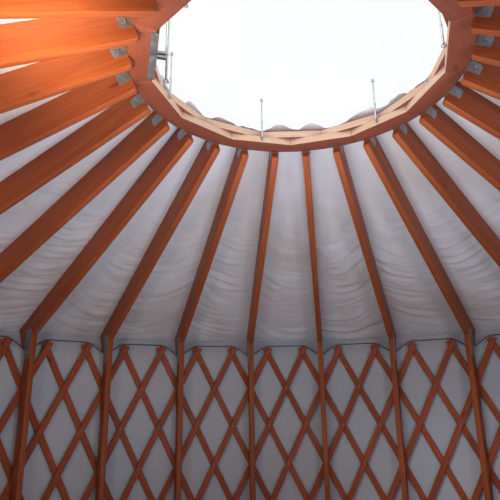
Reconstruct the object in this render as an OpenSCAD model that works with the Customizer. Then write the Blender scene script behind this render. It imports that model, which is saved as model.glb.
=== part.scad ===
// Round lattice-wall yurt with a timber roof ring and a domed skylight.
// Millimetres, +Z up, origin on the ground at the centre of the plan, doorway centred on -Y.
// Azimuths are degrees from +Y towards +X.

/* [Wall lattice] */
// Radius of the lattice wall, to the joint between its two layers of slats
lattice_r = 2438; // [2200:1:2700]
// Number of rafters; the lattice has two heads for each one
rafter_count = 26; // [22:4:30]
// Rows of crossings below the heads
row_count = 7; // [6:1:7]
// Height of the lowest row of crossings above the ground
foot_row_z = 76; // [60:1:100]
// How far the slat tips stand above the rivets of the heads
tip_h = 50; // [40:1:70]
// Width of a slat
slat_w = 44; // [30:1:50]
// Thickness of a slat
slat_t = 16; // [10:1:20]
// How deep crossing slats are let into each other
slat_notch = 2; // [1:0.5:4]
// Height of the head rivets above the top of the doorway
head_h = 95; // [88:1:140]
// Diameter of the tension cable round the lattice heads
cable_d = 9; // [6:1:14]
// How far the cable runs level to each side of a head
cable_level = 20; // [10:1:30]
// How far the cable dips below the head rivets behind a stud
cable_dip = 35; // [20:1:60]

/* [Rafters and studs] */
// Pitch of the roof above level
roof_pitch = 28.45; // [24:0.05:32]
// Width of a rafter, and of the stud below it
rafter_w = 38; // [30:1:50]
// Depth of a rafter, square to its length
rafter_d = 140; // [110:1:160]
// Height of the rafter underside above the head rivets, at the lattice
rafter_seat = 15; // [10:1:30]
// How far the lower corner of a rafter runs out past the lattice radius
rafter_tail = 33; // [25:1:60]
// Depth of a stud, from its inner edge to the lattice
stud_d = 89; // [60:1:110]
// Gap between a stud and the lattice slats
stud_gap = 1; // [1:1:5]

/* [Roof ring] */
// Outer radius of the ring at its underside
ring_r = 741; // [640:1:820]
// Width of the ring's boards at its inner corners
ring_w = 85; // [75:1:110]
// Thickness of each of the ring's two layers
ring_layer_t = 38; // [30:1:45]

/* [Steel brackets] */
// Thickness of the ring brackets and the stud straps
plate_t = 3; // [2:0.5:5]
// Length of a ring bracket's cheek along the rafter
cheek_l = 62; // [45:1:90]
// Height of a ring bracket's cheek
cheek_h = 54; // [40:1:80]
// Radius of the cheek's round corner
cheek_corner_r = 18; // [8:1:20]
// Width of a stud strap
strap_w = 76; // [30:1:86]
// Length of a stud strap
strap_l = 200; // [150:1:260]
// How far the middle of a strap lies below the joint of stud and rafter
strap_drop = 40; // [0:1:60]

/* [Cloth] */
// Thickness of the inner lining cloth
lining_t = 3; // [2:0.5:5]
// Thickness of the insulation blanket and weather cover together
cover_t = 12; // [8:1:30]
// Gap between the lattice slats and the lining
lining_gap = 2; // [1:1:6]
// Height at which the lining starts to lean out to the eaves, below the head rivets
lean_drop = 60; // [30:1:120]
// Height of the valance that hangs from the eaves
valance_h = 150; // [90:1:200]
// Thickness of the valance
valance_t = 4; // [3:1:8]
// Height of the lining's lower hem above the ground
hem_z = 5; // [2:1:30]
// How far the roof cloth stops short of the ring's inner corners
cloth_setback = 12; // [6:1:30]

/* [Skylight] */
// Rise of the bubble above its flange
bubble_h = 360; // [300:1:420]
// Thickness of the bubble and its flange
bubble_t = 6; // [4:1:10]
// Width of the flange
flange_w = 52; // [30:1:60]
// How far the flange stops short of the top outer edge of the ring
flange_gap = 5; // [0:1:20]
// Diameter of a hold-down rod
rod_d = 7; // [5:1:10]
// Clear gap between a hold-down rod and the ring
rod_gap = 9; // [6:1:16]
// Outer diameter of the eye at the foot of a rod
eye_d = 24; // [20:1:32]
// How far the opener's channel stops short of the corners of the ring
channel_end_gap = 12; // [5:1:60]
// Width of the opener's channel under the ring
channel_h = 32; // [25:1:38]
// How far the opener's channel stands in from the ring's inner face
channel_d = 11; // [9:1:20]
// Wall of the opener's channel
channel_wall = 3; // [2:0.5:4]
// Distance of the opener's screw from the ring's inner face
screw_reach = 54; // [45:1:80]
// How far the opener's screw hangs below the ring
screw_drop = 100; // [60:1:140]
// Diameter of the opener's screw
screw_d = 12; // [8:1:13]
// Diameter of the tube above the opener's screw
tube_d = 16; // [14:1:24]

/* [Doorway] */
// Clear width of the doorway
door_w = 860; // [700:1:900]
// Clear height of the doorway, above the ground
door_h = 1990; // [1850:1:2250]
// Depth of the door frame, from inside to outside
frame_d = 140; // [100:1:145]
// Height of the threshold board
threshold_h = 38; // [20:1:60]
// Gap between the door frame and the ends of the lattice
frame_gap = 15; // [12:1:25]

/* [Hidden] */
$fn = 96;
EPS = 0.5;
PANELS = 8;
ROOF_SEGMENTS = 8;
RING_SIDES = 12;

// Angles of the plan
bay = 360 / rafter_count;
half_step = bay / 4;
door_index = 2 * (rafter_count - 2);
panel_steps = 2 * door_index / PANELS;
end_steps = 0.3;
function panel_start(number) = -door_index + (number - 1) * panel_steps
    + (number > PANELS ? end_steps : -end_steps);

// Heights of the lattice
rivet_z = door_h + head_h;
row_pitch = (rivet_z - foot_row_z) / row_count;
half_step_len = lattice_r * half_step * PI / 180;
slat_angle = atan(row_pitch / half_step_len);
slat_half_z = slat_w / 2 / cos(slat_angle);
slat_end_z = slat_w / 2 * cos(slat_angle);
slat_end_s = slat_w / 2 * sin(slat_angle) / half_step_len;
tip_row = -(tip_h - slat_end_z) / row_pitch;
foot_row = row_count + (foot_row_z - slat_end_z) / row_pitch;

// Roof line
slope = tan(roof_pitch);
rafter_rise = rafter_d * cos(roof_pitch);
rafter_run = rafter_d * sin(roof_pitch);
ring_drop = rafter_rise - 2 * ring_layer_t;
end_gap = plate_t + EPS;
tip_r = ring_r - ring_drop * slope;
tip_z = rivet_z + rafter_seat + (lattice_r - tip_r) * slope;
ring_z = tip_z + ring_drop;
ring_corner_r = ring_r - ring_w;
ring_top_z = ring_z + 2 * ring_layer_t;
ring_flat_r = ring_corner_r * cos(180 / RING_SIDES);
tail_r = lattice_r + rafter_tail;
function under_z(r) = tip_z - (r - tip_r) * slope;
function top_z(r) = under_z(r) + rafter_d / cos(roof_pitch);

// Studs
stud_out_r = lattice_r - slat_t - stud_gap;
stud_in_r = stud_out_r - stud_d;

// Cloth
lining_r = lattice_r + slat_t + lining_gap;
tail_gap = 2;
eave_r = tail_r + rafter_run + tail_gap;
cloth_in_r = ring_corner_r + cloth_setback;
shoulder_r = ring_r + 2 * ring_layer_t * slope;
valance_r = eave_r + lining_t + cover_t + EPS;

// Door frame
frame_out_x = (lattice_r - slat_t) * sin(bay - end_steps * half_step) - frame_gap;
jamb_w = frame_out_x - door_w / 2;
door_rafter_az = bay / 2;
header_ease = rafter_w / 2 * sin(door_rafter_az) * slope + EPS;
frame_in_y = stud_in_r;
frame_out_y = frame_in_y + frame_d;
function header_top(y) = under_z(y / cos(door_rafter_az)) - header_ease;

// Skylight
flange_z = ring_top_z + lining_t + cover_t;
flange_out_r = shoulder_r - flange_gap;
bubble_r = flange_out_r - flange_w;
bubble_power = 2;
bubble_steps = 14;
function bubble_z(r, rise, foot) = rise * pow(1 - pow(min(r / foot, 1), bubble_power), 1 / bubble_power);
rod_r = ring_flat_r - rod_gap - rod_d / 2;
rod_foot_z = ring_z + ring_layer_t / 2;
rod_az = [for (k = [0:5]) 60 * k - 15];
opener_az = -105;
channel_l = 2 * (ring_corner_r * sin(180 / RING_SIDES) - channel_end_gap);

// Colours
rafter_colour = [0.62, 0.30, 0.15];
lattice_colour = [0.45, 0.19, 0.12];
ring_colour = [0.48, 0.26, 0.20];
lining_colour = [0.72, 0.69, 0.70];
cover_colour = [0.80, 0.78, 0.72];
steel_colour = [0.45, 0.45, 0.46];
dome_colour = [0.93, 0.95, 0.96, 0.6];
frame_colour = [0.58, 0.33, 0.20];

// Helpers

// Turns a piece modelled along +Y to its azimuth
module at_azimuth(az) {
    rotate([0, 0, -az]) children();
}

// A board from a profile in radius and height, centred on its azimuth
module board(width) {
    rotate([90, 0, 90]) translate([0, 0, -width / 2]) linear_extrude(width) children();
}

// A band round the axis between two azimuths, from a profile in radius and height
module band(from_az, to_az) {
    rotate([0, 0, 90 - to_az]) rotate_extrude(angle = to_az - from_az) children();
}

// Skins a row of point loops, all with as many points, and closes both ends
module skin(loops) {
    n = len(loops[0]);
    last = len(loops) - 1;
    points = [for (loop = loops) for (p = loop) p];
    sides = [
        for (i = [0:last - 1]) for (j = [0:n - 1])
            let (k = (j + 1) % n, a = i * n, b = a + n)
                for (face = [[a + j, a + k, b + k], [a + j, b + k, b + j]]) face
    ];
    start_cap = [for (j = [n - 1:-1:0]) j];
    end_cap = [for (j = [0:n - 1]) last * n + j];
    polyhedron(points = points, faces = concat([start_cap], sides, [end_cap]));
}

// Lattice wall

// A point on the wall, from its half-step index, height and radius
function wall_point(index, z, r) = [r * sin(index * half_step), r * cos(index * half_step), z];

// Section of a slat cut upright, at one row of crossings
function upright_section(index, z, r_in, r_out) = [
    wall_point(index, z + slat_half_z, r_in), wall_point(index, z + slat_half_z, r_out),
    wall_point(index, z - slat_half_z, r_out), wall_point(index, z - slat_half_z, r_in)
];

// Section of a slat cut square, at its tip or foot
function square_section(index, z, dir, r_in, r_out) = [
    wall_point(index + dir * slat_end_s, z + slat_end_z, r_in),
    wall_point(index + dir * slat_end_s, z + slat_end_z, r_out),
    wall_point(index - dir * slat_end_s, z - slat_end_z, r_out),
    wall_point(index - dir * slat_end_s, z - slat_end_z, r_in)
];

// The stretch of one slat that lies between two half-step indexes, bent midway between crossings.
// A slat leans one way (dir 1) in the outer layer and the other way (dir -1) in the inner one.
module slat(head, dir, from_index, to_index) {
    r_in = dir > 0 ? lattice_r - slat_notch : lattice_r - slat_t;
    r_out = dir > 0 ? lattice_r + slat_t : lattice_r + slat_notch;
    first_row = dir > 0 ? from_index - head : head - to_index;
    last_row = dir > 0 ? to_index - head : head - from_index;
    if (first_row < foot_row && last_row > 0) {
        start = first_row < tip_row
            ? square_section(head + dir * tip_row, rivet_z - tip_row * row_pitch, dir, r_in, r_out)
            : upright_section(head + dir * first_row, rivet_z - first_row * row_pitch, r_in, r_out);
        end = last_row > foot_row
            ? square_section(head + dir * foot_row, rivet_z - foot_row * row_pitch, dir, r_in, r_out)
            : upright_section(head + dir * last_row, rivet_z - last_row * row_pitch, r_in, r_out);
        bends = [
            for (row = [0.5:1:row_count - 0.5])
                if (row > first_row + end_steps / 2 && row < last_row - end_steps / 2)
                    upright_section(head + dir * row, rivet_z - row * row_pitch, r_in, r_out)
        ];
        loops = concat([start], bends, [end]);
        count = len(loops);
        skin(dir > 0 ? loops : [for (i = [count - 1:-1:0]) loops[i]]);
    }
}

// One length of the lattice, its slats fused where they cross
module lattice_panel(number) {
    from_index = panel_start(number);
    to_index = panel_start(number + 1);
    color(lattice_colour)
    union() {
        for (head = [round(from_index) - row_count - 1:round(to_index) + row_count + 1])
            if (head % 2 != 0) {
                slat(head, 1, from_index, to_index);
                slat(head, -1, from_index, to_index);
            }
    }
}

// The cable passes over the slat tips of each head and dips behind each stud
module tension_cable() {
    sides = 6;
    over_z = rivet_z + tip_h + cable_d / 2 + 2 * EPS;
    over_index = cable_level / half_step_len;
    dip_z = rivet_z - cable_dip;
    stops = [
        for (i = [-door_index + 1:2:door_index - 1])
            each concat(
                (i + 1) % 4 == 0 ? [[i - 1, dip_z]] : [],
                [[i - over_index, over_z], [i + over_index, over_z]])
    ];
    jamb_index = asin(frame_out_x / lattice_r) / half_step;
    first = [[-(2 * rafter_count - jamb_index), dip_z]];
    final = [[2 * rafter_count - jamb_index, dip_z]];
    color(steel_colour)
    skin([
        for (stop = concat(first, [for (s = stops) if (abs(s[0]) < door_index - 0.5) s], final))
            [for (k = [0:sides - 1])
                let (up = cable_d / 2 * sin(-360 * k / sides), out = cable_d / 2 * cos(-360 * k / sides))
                    wall_point(stop[0], stop[1] + up, lattice_r + out)]
    ]);
}

// Rafters and studs

// A rafter is one board, cut square at the ring and at the eaves
module rafter() {
    along = end_gap * cos(roof_pitch);
    down = end_gap * sin(roof_pitch);
    board(rafter_w) polygon([
        [tip_r + along, tip_z - down],
        [tail_r, under_z(tail_r)],
        [tail_r + rafter_run, under_z(tail_r) + rafter_rise],
        [tip_r + rafter_run + along, tip_z + rafter_rise - down]
    ]);
}

// Rafters from one count to another, clockwise from the doorway
module rafters(from_count, to_count) {
    color(rafter_colour)
    for (i = [from_count:to_count]) at_azimuth(-180 + (i - 0.5) * bay) rafter();
}

// A stud stands against the lattice and carries the underside of its rafter
module stud() {
    board(rafter_w) polygon([
        [stud_in_r, 0], [stud_out_r, 0],
        [stud_out_r, under_z(stud_out_r)], [stud_in_r, under_z(stud_in_r)]
    ]);
}

module studs(from_count, to_count) {
    color(rafter_colour)
    for (i = [from_count:to_count]) at_azimuth(-180 + (i - 0.5) * bay) stud();
}

// Steel

// Cheek of a ring bracket, lying along the rafter from its ring end
module cheek_profile() {
    union() {
        square([cheek_l, cheek_h - cheek_corner_r]);
        square([cheek_l - cheek_corner_r, cheek_h]);
        translate([cheek_l - cheek_corner_r, cheek_h - cheek_corner_r]) circle(cheek_corner_r);
    }
}

// A bracket holds the ring end of a rafter between two cheeks on one end plate
module rafter_bracket() {
    translate([0, tip_r, tip_z]) rotate([-roof_pitch, 0, 0]) translate([0, EPS, ring_drop + plate_t]) {
        for (side = [-1, 1])
            translate([side * (rafter_w + plate_t) / 2, 0, 0]) board(plate_t) cheek_profile();
        translate([-rafter_w / 2 - plate_t, 0, 0]) cube([rafter_w + 2 * plate_t, plate_t, cheek_h]);
    }
}

module rafter_brackets() {
    color(steel_colour)
    for (i = [1:rafter_count]) at_azimuth(-180 + (i - 0.5) * bay) rafter_bracket();
}

// Straps on both sides tie each stud to its rafter
module stud_straps() {
    strap_r = (stud_in_r + stud_out_r) / 2;
    color(steel_colour)
    for (i = [2:rafter_count - 1], side = [-1, 1])
        at_azimuth(-180 + (i - 0.5) * bay)
            translate([side * (rafter_w + plate_t) / 2, strap_r, under_z(strap_r) - strap_drop])
                cube([plate_t, strap_w, strap_l], center = true);
}

// Roof ring

// One layer of the ring: a round outside, bevelled to meet the rafter ends, and twelve inner faces
module ring_layer(level, turn) {
    r_low = ring_r + level * ring_layer_t * slope;
    color(ring_colour)
    translate([0, 0, ring_z + level * ring_layer_t]) difference() {
        cylinder(r1 = r_low, r2 = r_low + ring_layer_t * slope, h = ring_layer_t);
        rotate([0, 0, turn]) translate([0, 0, -EPS])
            cylinder(r = ring_corner_r, h = ring_layer_t + 2 * EPS, $fn = RING_SIDES);
    }
}

// Cloth

// Profile of a wall cloth between two offsets from the lining's inner face
module wall_profile(inner, outer, foot_z) {
    inside = [
        [lining_r + inner, foot_z],
        [lining_r + inner, rivet_z - lean_drop],
        [tail_r + tail_gap + inner, under_z(tail_r)],
        [eave_r + inner, top_z(eave_r + inner)]
    ];
    outside = [
        [eave_r + outer, top_z(eave_r + outer)],
        [tail_r + tail_gap + outer, under_z(tail_r)],
        [lining_r + outer, rivet_z - lean_drop],
        [lining_r + outer, foot_z]
    ];
    polygon(concat(inside, outside));
}

// Azimuth at which a cloth at this radius reaches the side of the door frame
function frame_az(r) = asin(frame_out_x / r);

module wall_cover(number) {
    panel_az = panel_steps * half_step;
    end_az = 180 - frame_az(lining_r + lining_t);
    from_az = number == 1 ? -end_az : -door_index * half_step + (number - 1) * panel_az;
    to_az = number == PANELS ? end_az : -door_index * half_step + number * panel_az;
    color(cover_colour)
    band(from_az, to_az) wall_profile(lining_t, lining_t + cover_t, 0);
}

// Cloth above the doorway, cut to sit on the header and in front of its top edge
module over_door_cloth(inner, outer) {
    half_az = frame_az(lining_r + outer);
    far_y = frame_out_y + frame_d;
    difference() {
        band(180 - half_az, 180 + half_az, $fn = 240) wall_profile(inner, outer, door_h);
        rotate([0, 0, 180]) board(3 * frame_out_x) polygon([
            [0, door_h - EPS], [far_y, door_h - EPS],
            [far_y, header_top(far_y) + EPS], [0, header_top(0) + EPS]
        ]);
    }
}

module wall_cover_over_door() {
    color(cover_colour) over_door_cloth(lining_t, lining_t + cover_t);
}

module wall_lining() {
    half_az = 180 - frame_az(lining_r);
    color(lining_colour) {
        band(-half_az, half_az, $fn = 240) wall_profile(0, lining_t, hem_z);
        over_door_cloth(0, lining_t);
    }
}

// Profile of a roof cloth between two heights above the rafter tops
function roof_line(rise) = [
    [cloth_in_r, ring_top_z + rise], [shoulder_r, ring_top_z + rise], [valance_r, top_z(valance_r) + rise]
];

module roof_lining() {
    lower = roof_line(0);
    upper = roof_line(lining_t);
    color(lining_colour)
    rotate_extrude() polygon([lower[0], lower[1], lower[2], upper[2], upper[1], upper[0]]);
}

// A segment of the roof cover with its length of valance
module roof_cover(number) {
    lower = roof_line(lining_t);
    upper = roof_line(lining_t + cover_t);
    segment_az = 360 / ROOF_SEGMENTS;
    valance_z = upper[2][1] - valance_h;
    color(cover_colour)
    band(-180 + (number - 1) * segment_az, -180 + number * segment_az) polygon([
        lower[0], lower[1], lower[2],
        [valance_r, valance_z], [valance_r + valance_t, valance_z], [valance_r + valance_t, upper[2][1]],
        upper[1], upper[0]
    ]);
}

// Skylight

module skylight_dome() {
    inner_foot = bubble_r - bubble_t;
    inner_rise = bubble_h - bubble_t;
    outside = [
        for (i = [0:bubble_steps])
            let (r = bubble_r * cos(90 * i / bubble_steps))
                [r, flange_z + bubble_z(r, bubble_h, bubble_r)]
    ];
    inside = [
        for (i = [bubble_steps:-1:0])
            let (r = inner_foot * cos(90 * i / bubble_steps))
                [r, flange_z + bubble_z(r, inner_rise, inner_foot)]
    ];
    flange = [
        [inner_foot, flange_z], [flange_out_r, flange_z],
        [flange_out_r, flange_z + bubble_t], [bubble_r, flange_z + bubble_t]
    ];
    rise = [for (p = outside) if (p[1] > flange_z + bubble_t) p];
    fall = [for (p = inside) if (p[1] > flange_z) p];
    color(dome_colour)
    rotate_extrude() polygon(concat(flange, rise, fall));
}

// Rods from eyes on the ring's lower layer up to the bubble
module dome_hold_down_rods() {
    top = flange_z + bubble_z(rod_r + rod_d / 2, bubble_h - bubble_t, bubble_r - bubble_t) - EPS;
    wire = (eye_d - rod_d) / 4;
    shank_z = rod_foot_z + eye_d / 2 - wire;
    color(steel_colour)
    for (az = rod_az) at_azimuth(az) {
        translate([0, rod_r, shank_z]) cylinder(d = rod_d, h = top - shank_z);
        translate([0, rod_r, rod_foot_z]) rotate([90, 0, 90])
            rotate_extrude() translate([eye_d / 2 - wire, 0]) circle(wire, $fn = 24);
        translate([0, rod_r + eye_d / 2 - 2 * wire, rod_foot_z]) rotate([-90, 0, 0])
            cylinder(r = wire, h = ring_flat_r - rod_r - eye_d / 2 + 2 * wire);
    }
}

// Folded channel of the skylight's opener: it lies under the ring's inner edge and turns up inside it
module opener_channel() {
    in_r = ring_flat_r - channel_d;
    out_r = in_r + channel_h;
    base_z = ring_z - channel_wall;
    lip_z = ring_z + ring_layer_t - channel_wall;
    color(steel_colour)
    at_azimuth(opener_az) board(channel_l) polygon([
        [out_r, base_z], [in_r, base_z], [in_r, lip_z + channel_wall], [ring_flat_r, lip_z + channel_wall],
        [ring_flat_r, lip_z], [in_r + channel_wall, lip_z], [in_r + channel_wall, ring_z], [out_r, ring_z]
    ]);
}

// Screw of the opener: an eye, the screw, its tube and the two arms that hold it off the channel
module opener_screw() {
    screw_r = ring_flat_r - screw_reach;
    screw_foot_z = ring_z - screw_drop;
    tube_foot_z = ring_z + ring_layer_t / 2;
    top = flange_z + bubble_z(screw_r + tube_d / 2, bubble_h - bubble_t, bubble_r - bubble_t) - EPS;
    wire = (eye_d - rod_d) / 4;
    arm_h = channel_h / 3;
    arm_l = screw_reach - channel_d - EPS;
    color(steel_colour)
    at_azimuth(opener_az) {
        translate([0, screw_r, screw_foot_z]) cylinder(d = screw_d, h = tube_foot_z - screw_foot_z + EPS);
        translate([0, screw_r, screw_foot_z - eye_d / 2 + wire]) rotate([90, 0, 90])
            rotate_extrude() translate([eye_d / 2 - wire, 0]) circle(wire, $fn = 24);
        translate([0, screw_r, tube_foot_z]) cylinder(d = tube_d, h = top - tube_foot_z);
        for (arm_z = [ring_z, ring_z + 2 * arm_h])
            translate([-tube_d / 2, screw_r, arm_z]) cube([tube_d, arm_l, arm_h]);
    }
}

// Doorway

// The header's top is bevelled to the roof line below the two rafters that it carries
module door_header() {
    color(frame_colour)
    rotate([0, 0, 180]) board(2 * frame_out_x) polygon([
        [frame_in_y, door_h], [frame_out_y, door_h],
        [frame_out_y, header_top(frame_out_y)], [frame_in_y, header_top(frame_in_y)]
    ]);
}

module door_jamb(side) {
    color(frame_colour)
    translate([side > 0 ? door_w / 2 : -frame_out_x, -frame_out_y, 0]) cube([jamb_w, frame_d, door_h]);
}

module door_threshold() {
    color(frame_colour)
    translate([-door_w / 2, -frame_out_y, 0]) cube([door_w, frame_d, threshold_h]);
}

lattice_panel(1);  // lattice_panel_1
lattice_panel(2);  // lattice_panel_2
lattice_panel(3);  // lattice_panel_3
lattice_panel(4);  // lattice_panel_4
lattice_panel(5);  // lattice_panel_5
lattice_panel(6);  // lattice_panel_6
lattice_panel(7);  // lattice_panel_7
lattice_panel(8);  // lattice_panel_8
wall_cover(1);  // wall_cover_1
wall_cover(2);  // wall_cover_2
wall_cover(3);  // wall_cover_3
wall_cover(4);  // wall_cover_4
wall_cover(5);  // wall_cover_5
wall_cover(6);  // wall_cover_6
wall_cover(7);  // wall_cover_7
wall_cover(8);  // wall_cover_8
wall_cover_over_door();
wall_lining();
roof_lining();
roof_cover(1);  // roof_cover_1
roof_cover(2);  // roof_cover_2
roof_cover(3);  // roof_cover_3
roof_cover(4);  // roof_cover_4
roof_cover(5);  // roof_cover_5
roof_cover(6);  // roof_cover_6
roof_cover(7);  // roof_cover_7
roof_cover(8);  // roof_cover_8
rafters(1, 6);  // rafters_front_left
rafters(7, rafter_count / 2);  // rafters_back_left
rafters(rafter_count / 2 + 1, rafter_count - 6);  // rafters_back_right
rafters(rafter_count - 5, rafter_count);  // rafters_front_right
studs(2, rafter_count / 2);  // wall_studs_left
studs(rafter_count / 2 + 1, rafter_count - 1);  // wall_studs_right
rafter_brackets();
stud_straps();
ring_layer(0, 0);  // ring_lower_layer
ring_layer(1, 180 / RING_SIDES);  // ring_upper_layer
tension_cable();
skylight_dome();
dome_hold_down_rods();
opener_channel();
opener_screw();
door_jamb(-1);  // door_jamb_left
door_jamb(1);  // door_jamb_right
door_header();
door_threshold();
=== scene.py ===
"""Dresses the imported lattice-wall yurt: stained timber, lining and covers, steel and the domed skylight.

Everything is in metres, +Z up, with the doorway centred on -Y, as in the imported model.
Azimuths are degrees from +Y towards +X.
"""

import math
import random

import bmesh
import bpy
from bpy.props import FloatProperty, FloatVectorProperty, IntProperty, PointerProperty
from mathutils import Matrix, Vector, noise


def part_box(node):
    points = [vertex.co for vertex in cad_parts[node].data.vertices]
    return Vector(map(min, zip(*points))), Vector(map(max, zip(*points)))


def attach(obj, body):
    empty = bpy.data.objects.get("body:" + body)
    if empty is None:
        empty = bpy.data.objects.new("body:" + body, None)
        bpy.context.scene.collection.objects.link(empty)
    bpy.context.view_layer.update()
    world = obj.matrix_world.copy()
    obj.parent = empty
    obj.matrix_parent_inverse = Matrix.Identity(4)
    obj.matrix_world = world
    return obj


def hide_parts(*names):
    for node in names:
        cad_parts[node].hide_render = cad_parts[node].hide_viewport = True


bl_info = {
    "name": "Lattice-wall yurt",
    "version": (1, 0, 0),
    "blender": (4, 5, 0),
    "location": "View3D > Sidebar > Yurt",
    "description": "Dresses the packed yurt with timber, cloth, steel and a skylight",
    "category": "Object",
}

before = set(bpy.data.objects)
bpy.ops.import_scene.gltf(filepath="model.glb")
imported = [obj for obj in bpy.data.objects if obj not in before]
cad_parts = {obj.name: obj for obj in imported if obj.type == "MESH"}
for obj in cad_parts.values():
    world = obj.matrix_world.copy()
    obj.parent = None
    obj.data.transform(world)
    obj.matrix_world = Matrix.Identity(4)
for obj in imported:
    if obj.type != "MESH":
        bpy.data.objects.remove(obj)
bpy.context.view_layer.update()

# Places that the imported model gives
RING_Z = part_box("ring_lower_layer")[0][2]
RING_JOINT_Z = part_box("ring_lower_layer")[1][2]
RING_TOP_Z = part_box("ring_upper_layer")[1][2]
RING_R = 0.741
RING_CORNER_R = 0.656
LATTICE_R = 2.438
PITCH = math.radians(28.45)
SLOPE = math.tan(PITCH)
ROOF_TILT = Matrix.Rotation(-PITCH, 4, "X")
RAFTER_D = 0.140
RAFTERS = 26
BAY = 360 / RAFTERS
HALF_STEP = BAY / 4
STEP = math.radians(HALF_STEP) * LATTICE_R
END_INDEX = 2 * (RAFTERS - 2)
ROW_PITCH = 0.287
ROWS = 7
RIVET_Z = 2.085
TIP_RISE = 0.050
FOOT_Z = 0.076
SLAT_T = 0.016
RAFTER_SEAT = 0.015
TAIL_R = LATTICE_R + 0.033
RAFTER_RISE = RAFTER_D * math.cos(PITCH)
RAFTER_RUN = RAFTER_D * math.sin(PITCH)
RING_FLAT_R = RING_CORNER_R * math.cos(math.radians(15))
SHOULDER_R = RING_R + (RING_TOP_Z - RING_Z) * SLOPE
TIP_R = RING_R - (RAFTER_RISE - (RING_TOP_Z - RING_Z)) * SLOPE
TIP_Z = RIVET_Z + RAFTER_SEAT + (LATTICE_R - TIP_R) * SLOPE
LINING_T = 0.003
COVER_T = 0.012
ROOF_T = LINING_T + COVER_T
LINING_R = LATTICE_R + SLAT_T + 0.002
EAVE_R = TAIL_R + RAFTER_RUN + 0.002
VALANCE_R = EAVE_R + LINING_T + COVER_T + 0.0005
STUD_OUT_R = LATTICE_R - SLAT_T - 0.001
STUD_IN_R = STUD_OUT_R - 0.089
STUD_R = (STUD_OUT_R + STUD_IN_R) / 2
FLANGE_Z = RING_TOP_Z + ROOF_T
WALL_BEND_Z = RIVET_Z - 0.06
DOOR_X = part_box("door_jamb_right")[1][0]
DOOR_GAP = math.degrees(math.asin(DOOR_X / LINING_R))

# Fittings and cloth
PLATE_T = 0.003
WASHER_T = 0.0016
STRAP_DROP = 0.040
STRAP_SCREWS = (
    (-0.026, -0.080),
    (0.026, -0.080),
    (-0.010, -0.035),
    (0.022, 0.0),
    (-0.022, 0.045),
    (0.0, 0.085),
)
STRANDS = 6
CABLE_LAY = 0.022
LINING_PANELS = 13
TAPE_W = 0.030
STITCH_ROW = 0.010
STITCH = math.tau / 900


def under_z(r):
    """Height of the rafters' underside."""
    return TIP_Z - (r - TIP_R) * SLOPE


def top_z(r):
    """Height of the rafters' top edge."""
    return under_z(r) + RAFTER_D / math.cos(PITCH)


def at(az, r, z):
    """A point from its azimuth in degrees, radius and height."""
    return Vector((r * math.sin(math.radians(az)), r * math.cos(math.radians(az)), z))


def turned(az):
    """The matrix that turns a shape modelled along +Y to its azimuth."""
    return Matrix.Rotation(math.radians(-az), 4, "Z")


def rafter_azimuth(count):
    """Azimuth of a rafter, counted clockwise from the doorway."""
    return -180 + (count - 0.5) * BAY


def length(name, description, default):
    """A length property, in metres."""
    return FloatProperty(name=name, description=description, default=default, unit="LENGTH")


def tint(name, description, default):
    """A colour property."""
    return FloatVectorProperty(
        name=name, description=description, default=default, subtype="COLOR", min=0, max=1
    )


class YurtSizes(bpy.types.PropertyGroup):
    edge: length("Eased edge", "Radius of the eased edges of the boards", 0.0025)
    slat_width: length("Slat width", "Width of a lattice slat", 0.044)
    rafter_width: length("Rafter width", "Width of a rafter and of a stud", 0.038)
    rivet_radius: length("Rivet radius", "Radius of a lattice rivet's head", 0.0065)
    cable_radius: length("Cable radius", "Radius of the tension cable", 0.0045)
    sag: length("Lining sag", "How far the roof lining hangs between two rafters", 0.034)
    crease: length("Crease depth", "Depth of the creases across the roof lining", 0.016)
    roof_seams: IntProperty(name="Roof seams", description="Seams of the roof cover", default=16)
    wall_seams: IntProperty(name="Wall seams", description="Seams of the wall cover", default=12)


class YurtColours(bpy.types.PropertyGroup):
    rafter: tint("Rafters", "Stain of the rafters and studs", (0.445, 0.113, 0.031))
    rafter_dark: tint("Rafter grain", "Dark grain of the rafters and studs", (0.22, 0.044, 0.015))
    lattice: tint("Lattice", "Stain of the lattice", (0.45, 0.10, 0.031))
    lattice_dark: tint("Lattice grain", "Dark grain of the lattice", (0.22, 0.040, 0.017))
    ring: tint("Ring", "Stain of the roof ring", (0.275, 0.076, 0.043))
    ring_dark: tint("Ring grain", "Dark grain of the roof ring", (0.17, 0.045, 0.026))
    # Paler wood of the ring's inner faces: partly the bare wood's own colour, partly painted light and sheen
    # that these faces catch
    raw_wood: tint("Raw wood", "Bare inner faces of the roof ring", (0.66, 0.46, 0.32))
    lining: tint("Roof lining", "Cloth under the roof", (0.81, 0.83, 0.91))
    lining_warm: tint("Roof lining shade", "Browner patches of the roof lining", (0.66, 0.63, 0.63))
    wall_lining: tint("Wall lining", "Cloth behind the lattice", (0.52, 0.59, 0.68))
    wall_cover: tint("Wall cover", "Coated cloth of the wall cover", (0.62, 0.56, 0.45))
    roof_cover: tint("Roof cover", "Coated cloth of the roof cover", (0.70, 0.68, 0.63))
    steel: tint("Steel", "Galvanised plates", (0.30, 0.31, 0.32))
    bright_steel: tint("Bright steel", "Rods, bolts and rivets", (0.44, 0.44, 0.45))
    cable: tint("Cable", "Tension cable", (0.16, 0.15, 0.15))
    dome: tint("Dome", "Clear bubble of the skylight", (0.95, 0.97, 0.98))
    door: tint("Door frame", "Stain of the door frame", (0.33, 0.12, 0.05))
    floor: tint("Floor", "Plain floor of the stage", (0.86, 0.85, 0.83))


def sizes():
    """The sizes kept with the scene."""
    return bpy.context.scene.yurt_sizes


def colour(name):
    """A colour kept with the scene, with its alpha."""
    return (*getattr(bpy.context.scene.yurt_colours, name), 1)


def mixed(a, b, share):
    """A colour between two others."""
    return tuple(x + (y - x) * share for x, y in zip(a, b, strict=True))


# Materials

BLACK = (0, 0, 0, 1)
WHITE = (1, 1, 1, 1)


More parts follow.
